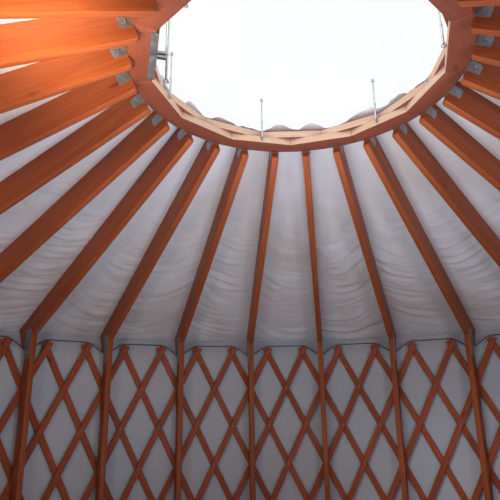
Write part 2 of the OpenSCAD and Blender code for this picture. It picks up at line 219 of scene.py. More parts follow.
class Finish:
    """A procedural material under construction."""

    def __init__(self, name, roughness=0.5, metallic=0.0, coat=0.0):
        self.material = bpy.data.materials.new(name)
        self.material.use_nodes = True
        self.tree = self.material.node_tree
        self.shader = self.tree.nodes["Principled BSDF"]
        self.finish(Roughness=roughness, Metallic=metallic)
        if coat:
            self.finish(Coat_Weight=coat, Coat_Roughness=0.35)

    def feed(self, value, socket):
        """Links an output into a socket, or sets the socket to a plain value."""
        if isinstance(value, bpy.types.NodeSocket):
            self.tree.links.new(value, socket)
        else:
            socket.default_value = value

    def node(self, kind, **values):
        """A node, where names with a capital are its sockets and the others its settings."""
        made = self.tree.nodes.new("ShaderNode" + kind)
        for key, value in values.items():
            if key[0].isupper():
                self.feed(value, made.inputs[key.replace("_", " ")])
            else:
                setattr(made, key, value)
        return made

    def place(self, attribute=None, uv=False, scale=(1, 1, 1)):
        """Coordinates from the object, its UV map or an attribute, scaled."""
        if attribute:
            source = self.node("Attribute", attribute_name=attribute).outputs["Vector"]
        else:
            source = self.node("TexCoord").outputs["UV" if uv else "Object"]
        return self.node("Mapping", Vector=source, Scale=scale).outputs["Vector"]

    def noise(self, place, scale, detail=4, roughness=0.5, distortion=0.0):
        made = self.node("TexNoise", Vector=place, Scale=scale, Detail=detail, Roughness=roughness)
        self.feed(distortion, made.inputs["Distortion"])
        return made.outputs["Fac"]

    def wave(self, place, scale, axis, distortion, detail, detail_scale):
        made = self.node("TexWave", bands_direction=axis, Vector=place, Scale=scale, Distortion=distortion)
        self.feed(detail, made.inputs["Detail"])
        self.feed(detail_scale, made.inputs["Detail Scale"])
        return made.outputs["Fac"]

    def cells(self, place, scale):
        """Distance from the nearest of many scattered points."""
        return self.node("TexVoronoi", Vector=place, Scale=scale).outputs["Distance"]

    def spread(self, value, low, high, to_low=0.0, to_high=1.0):
        made = self.node("MapRange", Value=value, From_Min=low, From_Max=high, To_Min=to_low, To_Max=to_high)
        return made.outputs["Result"]

    def ramp(self, value, *stops):
        made = self.node("ValToRGB", Fac=value)
        elements = made.color_ramp.elements
        while len(elements) < len(stops):
            elements.new(0.5)
        for element, (place, shade) in zip(elements, stops, strict=True):
            element.position = place
            element.color = shade
        return made.outputs["Color"]

    def blend(self, share, a, b):
        made = self.node("Mix", data_type="RGBA")
        for value, count in ((share, 0), (a, 6), (b, 7)):
            self.feed(value, made.inputs[count])
        return made.outputs[2]

    def math(self, operation, a, b=0):
        made = self.node("Math", operation=operation)
        self.feed(a, made.inputs[0])
        self.feed(b, made.inputs[1])
        return made.outputs[0]

    def bump(self, height, distance, strength, under=None):
        made = self.node("Bump", Height=height, Distance=distance, Strength=strength)
        if under is not None:
            self.feed(under, made.inputs["Normal"])
        return made.outputs["Normal"]

    def finish(self, **sockets):
        """Feeds the shader's sockets, and gives the material."""
        for name, value in sockets.items():
            self.feed(value, self.shader.inputs[name.replace("_", " ")])
        return self.material


def kept(make):
    """The material that a function makes, made the first time that it is asked for."""
    name = "dressed_" + make.__name__
    return bpy.data.materials.get(name) or make(name)


def timber(name, light, dark, roughness=0.45, coat=0.0):
    """Stained softwood: long grain, growth bands, fine pores and a few knots."""
    finish = Finish(name, roughness, coat=coat)
    broad = finish.noise(finish.place("grain", scale=(1, 0.12, 1)), 14, 3, 0.5, 0.6)
    bands = finish.wave(finish.place("grain", scale=(1, 0.045, 1)), 24, "DIAGONAL", 7, 3, 1.5)
    fine = finish.noise(finish.place("grain", scale=(1, 0.02, 1)), 420, 4, 0.6)
    knots = finish.cells(finish.place("grain", scale=(2.6, 0.9, 2.6)), 2.6)
    knot = finish.spread(knots, 0.035, 0.10, 1.0, 0.0)
    middle = mixed(light, dark, 0.35)
    base = finish.ramp(broad, (0.30, mixed(light, dark, 0.55)), (0.50, middle), (0.72, light))
    base = finish.blend(finish.spread(bands, 0.55, 1.0, 0.0, 0.38), base, mixed(dark, middle, 0.25))
    base = finish.blend(finish.spread(fine, 0.52, 0.72, 0.0, 0.30), base, dark)
    base = finish.blend(finish.math("MULTIPLY", knot, 0.8), base, mixed(dark, BLACK, 0.45))
    rough = finish.spread(fine, 0.3, 0.7, roughness - 0.08, roughness + 0.14)
    normal = finish.bump(fine, 0.0006, 0.35)
    normal = finish.bump(bands, 0.0010, 0.20, normal)
    return finish.finish(Base_Color=base, Roughness=rough, Normal=normal, Specular_IOR_Level=0.3)


def rafter_wood(name):
    return timber(name, colour("rafter"), colour("rafter_dark"))


def lattice_wood(name):
    return timber(name, colour("lattice"), colour("lattice_dark"), 0.42)


def ring_wood(name):
    return timber(name, colour("ring"), colour("ring_dark"), 0.48, 0.1)


# Paler wood for the ring's inner faces, which also paints the light and sheen that these faces catch
def raw_wood(name):
    return timber(name, colour("raw_wood"), mixed(colour("raw_wood"), colour("ring"), 0.45), 0.6)


def door_wood(name):
    return timber(name, colour("door"), mixed(colour("door"), BLACK, 0.5))


def woven(name, shade, shaded, roughness, thread, folds, stitched=False):
    """Cloth on its own UV map in metres: a plain weave, soft patches, creases and, on a tape, stitches."""
    finish = Finish(name, roughness)
    flat = finish.place(uv=True)
    warp, weft = (finish.wave(flat, 1 / (20 * thread), axis, 0.6, 1, 2) for axis in "XY")
    weave = finish.math("MAXIMUM", warp, weft)
    patch = finish.noise(finish.place(), 1.1, 3, 0.55, 0.4)
    grime = finish.noise(finish.place(), 9, 5, 0.6)
    base = finish.blend(finish.spread(patch, 0.38, 0.66), shade, shaded)
    base = finish.blend(finish.spread(grime, 0.45, 0.8, 0.0, 0.18), base, mixed(shaded, BLACK, 0.25))
    base = finish.blend(finish.spread(weave, 0.0, 1.0, 0.12, 0.0), base, mixed(shaded, BLACK, 0.4))
    rough = finish.spread(grime, 0.3, 0.7, roughness - 0.06, roughness + 0.08)
    normal = finish.bump(weave, 0.0004, 0.3)
    normal = finish.bump(finish.noise(finish.place(scale=folds), 1.0, 4, 0.55, 0.9), 0.02, 0.35, normal)
    if stitched:
        across, along = finish.node("SeparateXYZ", Vector=flat).outputs[:2]
        row = finish.math("SUBTRACT", finish.math("ABSOLUTE", across), STITCH_ROW)
        row = finish.spread(finish.math("ABSOLUTE", row), 0.0006, 0.0012, 1.0, 0.0)
        dash = finish.math("SINE", finish.math("MULTIPLY", along, math.tau / STITCH))
        dash = finish.spread(dash, -0.3, 0.0)
        stitch = finish.math("MULTIPLY", row, dash)
        base = finish.blend(stitch, base, mixed(shade, (0.25, 0.23, 0.20, 1), 0.7))
        normal = finish.bump(stitch, 0.0008, 0.6, normal)
    return finish.finish(Base_Color=base, Roughness=rough, Normal=normal)


def lining_cloth(name):
    return woven(name, colour("lining"), colour("lining_warm"), 0.85, 0.0011, (4, 4, 9))


def wall_lining_cloth(name):
    shade = colour("wall_lining")
    return woven(name, shade, mixed(shade, colour("lining_warm"), 0.4), 0.85, 0.0011, (4, 4, 2))


def roof_cover_cloth(name):
    shade = colour("roof_cover")
    return woven(name, shade, mixed(shade, colour("wall_cover"), 0.4), 0.5, 0.0016, (3, 3, 3))


def wall_cover_cloth(name):
    shade = colour("wall_cover")
    return woven(name, shade, mixed(shade, (0.3, 0.25, 0.18, 1), 0.25), 0.55, 0.0016, (3, 3, 1))


def roof_tape(name):
    shade = colour("roof_cover")
    return woven(name, mixed(shade, WHITE, 0.08), shade, 0.45, 0.0016, (9, 9, 9), stitched=True)


def wall_tape(name):
    shade = colour("wall_cover")
    return woven(name, mixed(shade, WHITE, 0.10), shade, 0.5, 0.0016, (9, 9, 9), stitched=True)


def galvanised_steel(name):
    """Zinc spangle over dull grey steel."""
    finish = Finish(name, 0.45, metallic=0.85)
    steel = colour("steel")
    spangle = finish.cells(finish.place(), 130)
    cloud = finish.noise(finish.place(), 35, 4, 0.6)
    base = finish.ramp(cloud, (0.3, mixed(steel, BLACK, 0.35)), (0.7, mixed(steel, WHITE, 0.12)))
    base = finish.blend(finish.spread(spangle, 0.0, 0.9, 0.0, 0.35), base, mixed(steel, WHITE, 0.3))
    rough = finish.spread(cloud, 0.3, 0.7, 0.36, 0.58)
    return finish.finish(Base_Color=base, Roughness=rough, Normal=finish.bump(spangle, 0.0003, 0.2))


def bright_steel(name):
    """Brushed and lightly marked bright steel."""
    finish = Finish(name, 0.3, metallic=1.0)
    steel = colour("bright_steel")
    marks = finish.noise(finish.place(scale=(1, 1, 0.2)), 220, 4, 0.6)
    cloud = finish.noise(finish.place(), 25, 3, 0.6)
    base = finish.ramp(cloud, (0.3, mixed(steel, BLACK, 0.2)), (0.7, steel))
    rough = finish.spread(marks, 0.3, 0.7, 0.22, 0.42)
    return finish.finish(Base_Color=base, Roughness=rough, Normal=finish.bump(marks, 0.0002, 0.25))


def cable_steel(name):
    """Strands that wind round the cable, from the angle that its lay attribute holds."""
    finish = Finish(name, 0.4, metallic=0.9)
    cable = colour("cable")
    twist = finish.math("SINE", finish.node("Attribute", attribute_name="lay").outputs["Fac"])
    cloud = finish.noise(finish.place(), 40, 4, 0.6)
    base = finish.ramp(cloud, (0.3, mixed(cable, BLACK, 0.3)), (0.7, mixed(cable, WHITE, 0.15)))
    base = finish.blend(finish.spread(twist, -1.0, 0.0, 0.7, 0.0), base, mixed(cable, BLACK, 0.6))
    rough = finish.spread(cloud, 0.3, 0.7, 0.35, 0.55)
    return finish.finish(Base_Color=base, Roughness=rough, Normal=finish.bump(twist, 0.0006, 0.8))


def dome_acrylic(name):
    """Clear acrylic with a faint haze, which lets the daylight in."""
    finish = Finish(name)
    haze = finish.spread(finish.noise(finish.place(), 3, 4, 0.6), 0.3, 0.75, 0.02, 0.06)
    dust = finish.spread(finish.noise(finish.place(), 60, 5, 0.65), 0.4, 0.75, 0.05, 0.25)
    finish.finish(Base_Color=colour("dome"), IOR=1.49, Roughness=dust)
    edge = finish.math("MULTIPLY", finish.node("LayerWeight", Blend=0.12).outputs["Facing"], 0.35)
    mix = finish.node("MixShader", Fac=finish.math("ADD", haze, edge))
    finish.feed(finish.node("BsdfTransparent", Color=(0.995, 0.998, 1.0, 1)).outputs[0], mix.inputs[1])
    finish.feed(finish.shader.outputs[0], mix.inputs[2])
    finish.feed(mix.outputs[0], finish.tree.nodes["Material Output"].inputs["Surface"])
    return finish.material


def pale_floor(name):
    """Plain pale floor, with the faintest of clouds."""
    finish = Finish(name, 0.9)
    shade = colour("floor")
    cloud = finish.noise(finish.place(), 0.6, 3, 0.5)
    base = finish.ramp(cloud, (0.3, mixed(shade, (0.8, 0.8, 0.8, 1), 0.3)), (0.7, shade))
    return finish.finish(Base_Color=base)


# Shapes


def moved(x, y, z):
    return Matrix.Translation((x, y, z))


def tilted(angle, axis):
    return Matrix.Rotation(math.radians(angle), 4, axis)


def scratch():
    """An empty bmesh with the layer that the wood grain follows."""
    bm = bmesh.new()
    bm.verts.layers.float_vector.new("grain")
    return bm


def poured(bm, part, place=None, shift=(0, 0, 0)):
    """Adds a copy of a part to a bmesh, in its place, with its own stretch of grain."""
    old = len(bm.verts)
    mesh = bpy.data.meshes.new("part")
    part.to_mesh(mesh)
    bm.from_mesh(mesh)
    bpy.data.meshes.remove(mesh)
    bm.verts.ensure_lookup_table()
    new = bm.verts[old:]
    layer = bm.verts.layers.float_vector.get("grain")
    if layer and any(shift):
        for v in new:
            v[layer] = v[layer] + Vector(shift)
    if place is not None:
        bmesh.ops.transform(bm, matrix=place, verts=new)


def given(bm, part, place=None, shift=(0, 0, 0)):
    """Adds a part to a bmesh and lets the part go."""
    poured(bm, part, place, shift)
    part.free()


def grained(part, sideways=0, lengthways=1):
    """Keeps each vertex's own place across, along and through its board, for the grain."""
    layer = part.verts.layers.float_vector["grain"]
    for v in part.verts:
        v[layer] = Vector((v.co[sideways], v.co[lengthways], v.co.z))
    return part


def eased(part, edges, offset, segments=1, clamp=False):
    """Bevels some edges of a part."""
    bmesh.ops.bevel(
        part,
        geom=edges,
        offset=offset,
        affect="EDGES",
        segments=segments,
        profile=0.5,
        material=-1,
        clamp_overlap=clamp,
    )


def sliced(part, length, cuts):
    """Cuts a board across into even lengths."""
    for k in range(1, cuts + 1):
        bmesh.ops.bisect_plane(
            part,
            geom=part.verts[:] + part.edges[:] + part.faces[:],
            plane_co=(0, length * (k / (cuts + 1) - 0.5), 0),
            plane_no=(0, 1, 0),
        )


def stick(width, length, depth, edge, cuts=0, segments=2, nose=0.0):
    """A board along +Y about its own middle, with eased edges and, if asked, its first lower corner cut."""
    part = scratch()
    bmesh.ops.create_cube(part, size=1)
    bmesh.ops.scale(part, vec=(width, length, depth), verts=part.verts)
    if nose:
        eased(part, [e for e in part.edges if all(v.co.y < 0 and v.co.z < 0 for v in e.verts)], nose)
    eased(part, part.edges[:], edge, segments)
    sliced(part, length, cuts)
    return grained(part)


def drum(segments, low_r, high_r, depth, z=0.0):
    """A closed cylinder or cone about Z, with its middle at a height."""
    part = bmesh.new()
    bmesh.ops.create_cone(part, cap_ends=True, segments=segments, radius1=low_r, radius2=high_r, depth=depth)
    bmesh.ops.translate(part, vec=(0, 0, z), verts=part.verts)
    return part


def widen(v, grow):
    """Moves a vertex away from the yurt's axis."""
    v.co.x *= grow
    v.co.y *= grow


def piece(name, bm, finish, nodes=(), smooth=35):
    """Makes a bmesh into a piece that rides on the yurt and stands for its CAD nodes."""
    mesh = bpy.data.meshes.new(name)
    bm.to_mesh(mesh)
    bm.free()
    for make in finish if isinstance(finish, list) else [finish]:
        mesh.materials.append(kept(make))
    made = bpy.data.objects.new(name, mesh)
    bpy.context.scene.collection.objects.link(made)
    mesh.shade_smooth()
    if smooth:
        mesh.set_sharp_from_angle(angle=math.radians(smooth))
    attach(made, "root")
    if nodes:
        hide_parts(*nodes)
    return made


def repaint(node, make):
    """Gives a CAD node its finish and keeps its mesh."""
    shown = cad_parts[node]
    if not shown.material_slots:
        shown.data.materials.append(kept(make))
    for place in shown.material_slots:
        place.link = "OBJECT"
        place.material = kept(make)


def shifted(seed):
    """A board's own stretch of grain."""
    dice = random.Random(seed)
    return tuple(dice.uniform(-9, 9) for _ in range(3))


def set_round(board, groups, place, seed=0):
    """A piece for each group of like boards, one board below each rafter's azimuth."""
    for node, counts in groups.items():
        bm = scratch()
        for count in counts:
            poured(bm, board, turned(rafter_azimuth(count)) @ place, shifted(seed + count))
        piece("timber_" + node, bm, rafter_wood, [node])
    board.free()


# Operators


class YURT_OT_stage(bpy.types.Operator):
    """Camera, lights and the plain pale floor"""

    bl_idname = "yurt.stage"
    bl_label = "Stage"

    def execute(self, context):
        self.camera(context.scene)
        self.sky(context.scene)
        self.lamp("dome_light", (0, 0, FLANGE_Z + 0.20), (0, 0, 0), 0.95, 2.5, (0.92, 0.96, 1.0))
        self.lamp("ring_glow", (0, 0, RING_Z - 0.75), (0, 0, 5), 0.9, 9.5, (0.86, 0.90, 1.0))
        self.lamp("floor_bounce", (-0.2, 0.1, 0.9), (-0.25, 0.1, 3), 1.6, 12.5, (0.78, 0.90, 1.0))
        self.lamp("right_fill", (1.55, -1.2, 1.85), (0.8, 0.7, 2.65), 0.6, 7, (1.0, 0.89, 0.93), 140)
        self.lamp("left_fill", (-1.7, -1.1, 1.85), (-0.5, 0.8, 2.65), 0.6, 6.5, (1.0, 0.76, 0.58), 140)
        self.lamp("side_fill", (-0.75, -1.35, 1.9), (-0.84, -0.56, 2.90), 0.3, 3.4, (1.0, 0.80, 0.54), 36)
        self.lamp("day", (0, 0, 6), (0.45, 0.75, 5.15), math.radians(24), 1.1, (1.0, 0.97, 0.93), kind="SUN")

        floor = bmesh.new()
        bmesh.ops.create_grid(floor, x_segments=1, y_segments=1, size=200)
        mesh = bpy.data.meshes.new("floor")
        floor.to_mesh(mesh)
        floor.free()
        mesh.materials.append(kept(pale_floor))
        ground = bpy.data.objects.new("floor", mesh)
        context.scene.collection.objects.link(ground)
        context.scene.view_settings.view_transform = "Standard"
        return {"FINISHED"}

    def camera(self, scene):
        """Stands inside the doorway and looks up at the roof ring."""
        data = bpy.data.cameras.new("view")
        data.lens = 38.22
        data.sensor_width = 36
        data.clip_start = 0.01
        camera = bpy.data.objects.new("view", data)
        az, up, roll = math.radians(-1.318), math.radians(16.21), math.radians(-0.86)
        ahead = Vector((math.sin(az) * math.cos(up), math.cos(az) * math.cos(up), math.sin(up)))
        level = Vector((math.cos(az), -math.sin(az), 0))
        upward = level.cross(ahead)
        right = math.cos(roll) * level + math.sin(roll) * upward
        top = -math.sin(roll) * level + math.cos(roll) * upward
        turn = Matrix((right, top, -ahead)).transposed().to_4x4()
        camera.matrix_world = moved(-0.177, -2.070, 1.675) @ turn
        scene.collection.objects.link(camera)
        scene.camera = camera

    def sky(self, scene):
        """Soft daylight, plain white where it is seen directly, in gloss or through the dome."""
        world = bpy.data.worlds.new("sky")
        world.use_nodes = True
        scene.world = world
        nodes, links = world.node_tree.nodes, world.node_tree.links
        back = nodes["Background"]
        back.inputs["Color"].default_value = (0.86, 0.92, 1.0, 1)
        back.inputs["Strength"].default_value = 0.75
        white = nodes.new("ShaderNodeBackground")
        white.inputs["Color"].default_value = WHITE
        path = nodes.new("ShaderNodeLightPath")
        seen = path.outputs["Is Camera Ray"]
        for kind in ("Is Glossy Ray", "Is Transmission Ray"):
            more = nodes.new("ShaderNodeMath")
            more.operation = "MAXIMUM"
            links.new(seen, more.inputs[0])
            links.new(path.outputs[kind], more.inputs[1])
            seen = more.outputs[0]
        mix = nodes.new("ShaderNodeMixShader")
        for count, output in enumerate((seen, back.outputs[0], white.outputs[0])):
            links.new(output, mix.inputs[count])
        links.new(mix.outputs[0], nodes["World Output"].inputs["Surface"])

    def lamp(self, name, place, aim, size, power, shade, spread=180, kind="AREA"):
        """A soft lamp that the camera doesn't see: a disc of a size in metres, or a sun of an angle."""
        data = bpy.data.lights.new(name, kind)
        data.energy = power
        data.color = shade
        if kind == "SUN":
            data.angle = size
        else:
            data.shape = "DISK"
            data.size = size
            data.spread = math.radians(spread)
        made = bpy.data.objects.new(name, data)
        made.visible_camera = False
        turn = (Vector(aim) - Vector(place)).to_track_quat("-Z", "Y").to_matrix().to_4x4()
        made.matrix_world = Matrix.Translation(place) @ turn
        bpy.context.scene.collection.objects.link(made)


class YURT_OT_rafters(bpy.types.Operator):
    """Rafters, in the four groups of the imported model"""

    bl_idname = "yurt.rafters"
    bl_label = "Rafters"

    def execute(self, context):
        groups = {
            "rafters_front_left": range(1, 7),
            "rafters_back_left": range(7, 14),
            "rafters_back_right": range(14, 21),
            "rafters_front_right": range(21, 27),
        }
        gap = 0.0035
        length = (TAIL_R - TIP_R) / math.cos(PITCH) - gap
        # The lower corner at the ring is eased off more than the other edges
        board = stick(sizes().rafter_width, length, RAFTER_D, sizes().edge, cuts=5, nose=0.009)
        place = moved(0, TIP_R, TIP_Z) @ ROOF_TILT @ moved(0, gap + length / 2, RAFTER_D / 2)
        set_round(board, groups, place)
        return {"FINISHED"}


class YURT_OT_studs(bpy.types.Operator):
    """Studs that stand against the lattice and carry the rafters"""

    bl_idname = "yurt.studs"
    bl_label = "Studs"

    def execute(self, context):
        tall = under_z(STUD_R)
        board = stick(sizes().rafter_width, tall, STUD_OUT_R - STUD_IN_R, sizes().edge, cuts=3)
        # Stood upright, with its top cut to the slope of the rafter
        board.transform(moved(0, STUD_R, tall / 2) @ tilted(90, "X"))
        for v in board.verts:
            if v.co.z > tall * 0.9:
                v.co.z -= (v.co.y - STUD_R) * SLOPE
        groups = {"wall_studs_left": range(2, 14), "wall_studs_right": range(14, 26)}
        set_round(board, groups, Matrix.Identity(4), 40)
        return {"FINISHED"}


class YURT_OT_ring(bpy.types.Operator):
    """Roof ring of two layers, each of twelve boards, whose inner faces take a paler wood that also paints
    the light and sheen they catch
    """

    bl_idname = "yurt.ring"
    bl_label = "Roof ring"

    def execute(self, context):
        self.layer("ring_lower_layer", RING_Z, RING_JOINT_Z, RING_R, 0)
        self.layer("ring_upper_layer", RING_JOINT_Z, RING_TOP_Z, RING_R + (RING_JOINT_Z - RING_Z) * SLOPE, 15)
        return {"FINISHED"}

    def layer(self, node, z0, z1, out_r, turn):
        joint = 0.0004
        part = scratch()
        # One board: a strip from the inner corner to the round outside, spun through 30 degrees
        inner = part.verts.new(at(-15, RING_CORNER_R, 0))
        outer = part.verts.new(at(-15, out_r, 0))
        strip = [inner, outer, part.edges.new((inner, outer))]
        bmesh.ops.spin(part, geom=strip, cent=(0, 0, 0), axis=(0, 0, 1), angle=math.radians(-30), steps=8)
        for v in part.verts:
            if math.hypot(v.co.x, v.co.y) < (RING_CORNER_R + out_r) / 2:
                v.co *= RING_FLAT_R / v.co.y
            v.co.x -= math.copysign(joint, v.co.x) if abs(v.co.x) > 0.1 else 0
        lifted = bmesh.ops.extrude_face_region(part, geom=part.faces[:])["geom"]
        top = [v for v in lifted if isinstance(v, bmesh.types.BMVert)]
        bmesh.ops.translate(part, vec=(0, 0, z1 - z0), verts=top)
        for v in top:
            if math.hypot(v.co.x, v.co.y) > out_r - 0.01:
                widen(v, 1 + (z1 - z0) * SLOPE / out_r)
        bmesh.ops.recalc_face_normals(part, faces=part.faces)
        sharp = [e for e in part.edges if len(e.link_faces) == 2 and e.calc_face_angle(0) > math.radians(30)]
        eased(part, sharp, 0.0018, 2, clamp=True)
        bmesh.ops.recalc_face_normals(part, faces=part.faces)
        # The inner faces take the paler wood, partly bare wood and partly painted light and sheen
        for f in part.faces:
            if f.normal.y < -0.9 and abs(f.calc_center_median().y - RING_FLAT_R) < 0.004:
                f.material_index = 1
        grained(part, sideways=1, lengthways=0)
        bmesh.ops.translate(part, vec=(0, 0, z0), verts=part.verts)
        bm = scratch()
        for k in range(12):
            # The inner corners of the lower layer stand at multiples of 30 degrees
            poured(bm, part, turned(30 * k + 15 + turn), shifted(80 + k + turn))
        part.free()
        piece("timber_" + node, bm, [ring_wood, raw_wood], [node])


def wall_at(arc, z, r):
    """A point of the round wall from its length of arc at the lattice radius."""
    return at(math.degrees(arc / LATTICE_R), r, z)


class YURT_OT_lattice(bpy.types.Operator):
    """Bent slats of the lattice wall, with a rivet at each crossing"""

    bl_idname = "yurt.lattice"
    bl_label = "Lattice"

    def execute(self, context):
        lean = math.atan2(ROW_PITCH, STEP)
        half = sizes().slat_width / 2 * math.cos(lean)
        tip = -(TIP_RISE - half) / ROW_PITCH
        foot = ROWS + (FOOT_Z - half) / ROW_PITCH
        nodes = [f"lattice_panel_{n}" for n in range(1, 9)]
        for way, name in ((1, "lattice_outer_slats"), (-1, "lattice_inner_slats")):
            bm = scratch()
            for head in range(-END_INDEX - 9, END_INDEX + 10, 2):
                # A slat ends at the doorway, a little past its last crossing
                first = max(tip, -way * head - END_INDEX - 0.12)
                last = min(foot, -way * head + END_INDEX + 0.12)
                if last - first >= 0.5:
                    self.slat(bm, head, way, first, last, lean)
            piece(name, bm, lattice_wood, nodes)

        rivets = bmesh.new()
        rivet = drum(12, sizes().rivet_radius, sizes().rivet_radius * 0.62, 0.003)
        eased(rivet, list({e for f in rivet.faces if f.normal.z > 0.9 for e in f.edges}), 0.0009)
        for row in range(ROWS + 1):
            for index in range(-END_INDEX + (row + 1) % 2, END_INDEX + 1, 2):
                place = moved(0, LATTICE_R - SLAT_T - 0.0013, RIVET_Z - row * ROW_PITCH) @ tilted(90, "X")
                poured(rivets, rivet, turned(index * HALF_STEP) @ place)
        rivet.free()
        piece("lattice_rivets", rivets, bright_steel)
        return {"FINISHED"}

    def slat(self, bm, head, way, first, last, lean):
        """One slat between two rows of crossings, from its head down one way."""
        run = math.hypot(ROW_PITCH, STEP)
        long = (last - first) * run
        part = stick(sizes().slat_width, long, SLAT_T - 0.0004, 0.0018, segments=1)
        # Rounded at both ends, then bent to the wall
        thick = SLAT_T * 0.6
        corners = [
            e
            for e in part.edges
            if abs(e.verts[0].co.y) > long / 2 - 0.004 and abs(e.verts[0].co.z - e.verts[1].co.z) > thick
        ]
        if corners:
            eased(part, corners, 0.006, 2)
        sliced(part, long, max(2, int(long / 0.16)) - 1)
        grained(part)
        for v in part.verts:
            along = v.co.y + long / 2 + first * run
            arc = head * STEP + way * (along * math.cos(lean) + v.co.x * math.sin(lean))
            z = RIVET_Z - along * math.sin(lean) + v.co.x * math.cos(lean)
            v.co = wall_at(arc, z, LATTICE_R + way * SLAT_T / 2 + v.co.z)
        bmesh.ops.recalc_face_normals(part, faces=part.faces)
        given(bm, part, None, shifted(500 + head * 3 + way))


class YURT_OT_cable(bpy.types.Operator):
    """Tension cable over the lattice heads, behind the studs"""

    bl_idname = "yurt.cable"
    bl_label = "Tension cable"

    def execute(self, context):
        points = self.route()
        bm = bmesh.new()
        lay = bm.verts.layers.float.new("lay")
        made = bmesh.ops.create_circle(bm, segments=10, radius=sizes().cable_radius, cap_ends=True)["verts"]
        faces = bm.faces[:]
        travel, turn_from, start = 0.0, Matrix.Identity(3), Vector()
        for k, point in enumerate(points):
            ahead = (points[min(k + 1, len(points) - 1)] - points[max(k - 1, 0)]).normalized()
            side = ahead.cross(Vector((point.x, point.y, 0)).normalized()).normalized()
            out = side.cross(ahead)
            if k:
                travel += (point - start).length
                grown = bmesh.ops.extrude_face_region(bm, geom=faces)["geom"]
                if k > 1:
                    bmesh.ops.delete(bm, geom=faces, context="FACES_ONLY")
                made = [g for g in grown if isinstance(g, bmesh.types.BMVert)]
                faces = [g for g in grown if isinstance(g, bmesh.types.BMFace)]
            turn_to = Matrix((out, side, ahead)).transposed()
            for v in made:
                local = turn_to @ (turn_from.inverted() @ (v.co - start))
                v.co = local + point
                v[lay] = STRANDS * math.atan2(local.dot(side), local.dot(out)) + travel * math.tau / CABLE_LAY
            turn_from, start = turn_to, point
        bmesh.ops.recalc_face_normals(bm, faces=bm.faces)
        piece("tension_cable_rope", bm, cable_steel, ["tension_cable"], 60)
        return {"FINISHED"}

    def route(self):
        """The cable's middle line: level over the heads, with a dip behind each stud and at the jambs."""
        over_z = RIVET_Z + TIP_RISE + sizes().cable_radius + 0.001
        dip_z = RIVET_Z - 0.035
        level = 0.020 / STEP
        stops = []
        for i in range(-END_INDEX + 1, END_INDEX, 2):
            if (i + 1) % 4 == 0:
                stops.append((i - 1, dip_z))
            stops += [(i - level, over_z), (i + level, over_z)]
        far = 2 * RAFTERS - math.degrees(math.asin(DOOR_X / LATTICE_R)) / HALF_STEP
        stops = [(-far, dip_z), *(s for s in stops if abs(s[0]) < END_INDEX - 0.5), (far, dip_z)]
        line = []
        for (i0, z0), (i1, z1) in zip(stops, stops[1:], strict=False):
            count = max(2, int(abs(i1 - i0) * STEP / 0.012))
            line += [(i0 + (i1 - i0) * k / count, z0 + (z1 - z0) * k / count) for k in range(count)]
        line.append(stops[-1])
        heights = [z for _, z in line]
        for _ in range(6):
            threes = zip(heights, heights[1:], heights[2:], strict=False)
            heights = [heights[0], *((low + 2 * z + high) / 4 for low, z, high in threes), heights[-1]]
        return [at(i * HALF_STEP, LATTICE_R, z) for (i, _), z in zip(line, heights, strict=True)]


def bolt(radius, height, washer):
    """A hexagon bolt head on its washer, pointing along +Z from the surface."""
    part = drum(20, washer, washer * 0.96, WASHER_T, WASHER_T / 2)
    head = drum(6, radius, radius, height)
    eased(head, head.edges[:], 0.0007)
    given(part, head, moved(0, 0, WASHER_T + height / 2))
    return part


class YURT_OT_steel(bpy.types.Operator):
    """Ring brackets and stud straps, with their bolts and screws"""

    bl_idname = "yurt.steel"
    bl_label = "Brackets and straps"

    def execute(self, context):
        repaint("rafter_brackets", galvanised_steel)
        repaint("stud_straps", galvanised_steel)
        side = sizes().rafter_width / 2 + PLATE_T
        lift = RAFTER_RISE - (RING_TOP_Z - RING_Z) + PLATE_T
        bolts = bmesh.new()
        head = bolt(0.0062, 0.005, 0.0095)
        for count in range(1, RAFTERS + 1):
            slope = turned(rafter_azimuth(count)) @ moved(0, TIP_R, TIP_Z) @ ROOF_TILT
            for way in (-1, 1):
                poured(bolts, head, slope @ moved(way * side, 0.032, lift + 0.028) @ tilted(90 * way, "Y"))
        head.free()
        piece("bracket_bolts", bolts, bright_steel)

        screws = bmesh.new()
        head = drum(10, 0.0045, 0.0026, 0.002, 0.001)
        for count in range(2, RAFTERS):
            for way in (-1, 1):
                for dy, dz in STRAP_SCREWS:
                    place = moved(way * side, STUD_R + dy, under_z(STUD_R) - STRAP_DROP + dz)
                    poured(screws, head, turned(rafter_azimuth(count)) @ place @ tilted(90 * way, "Y"))
        head.free()
        piece("strap_screws", screws, bright_steel)
        return {"FINISHED"}


def rolled(profile, steps, start=0.0, angle=360.0):
    """A cloth spun from a profile of (radius, height) points, round the axis from an azimuth."""
    bm = bmesh.new()
    verts = [bm.verts.new(at(start, r, z)) for r, z in profile]
    edges = [bm.edges.new(pair) for pair in zip(verts, verts[1:], strict=False)]
    bmesh.ops.spin(
        bm,
        geom=verts + edges,
        cent=(0, 0, 0),
        axis=(0, 0, 1),
        angle=math.radians(-angle),
        steps=steps,
        use_merge=angle == 360,
    )
    return bm


def along_profile(points, spacing):
    """The profile's points with more between them, at most so far apart."""
    out = []
    for (r0, z0), (r1, z1) in zip(points, points[1:], strict=False):
        count = max(1, math.ceil(math.hypot(r1 - r0, z1 - z0) / spacing))
        out += [(r0 + (r1 - r0) * k / count, z0 + (z1 - z0) * k / count) for k in range(count)]
    return [*out, points[-1]]


def polar(v):
    """A vertex's azimuth in degrees and its radius."""
    return math.degrees(math.atan2(v.co.x, v.co.y)), math.hypot(v.co.x, v.co.y)


def swing(az, middle):
    """The turn in degrees from one azimuth to another, the short way round."""
    return (az - middle + 180) % 360 - 180


def share(value):
    """A value kept between 0 and 1."""
    return max(0.0, min(1.0, value))


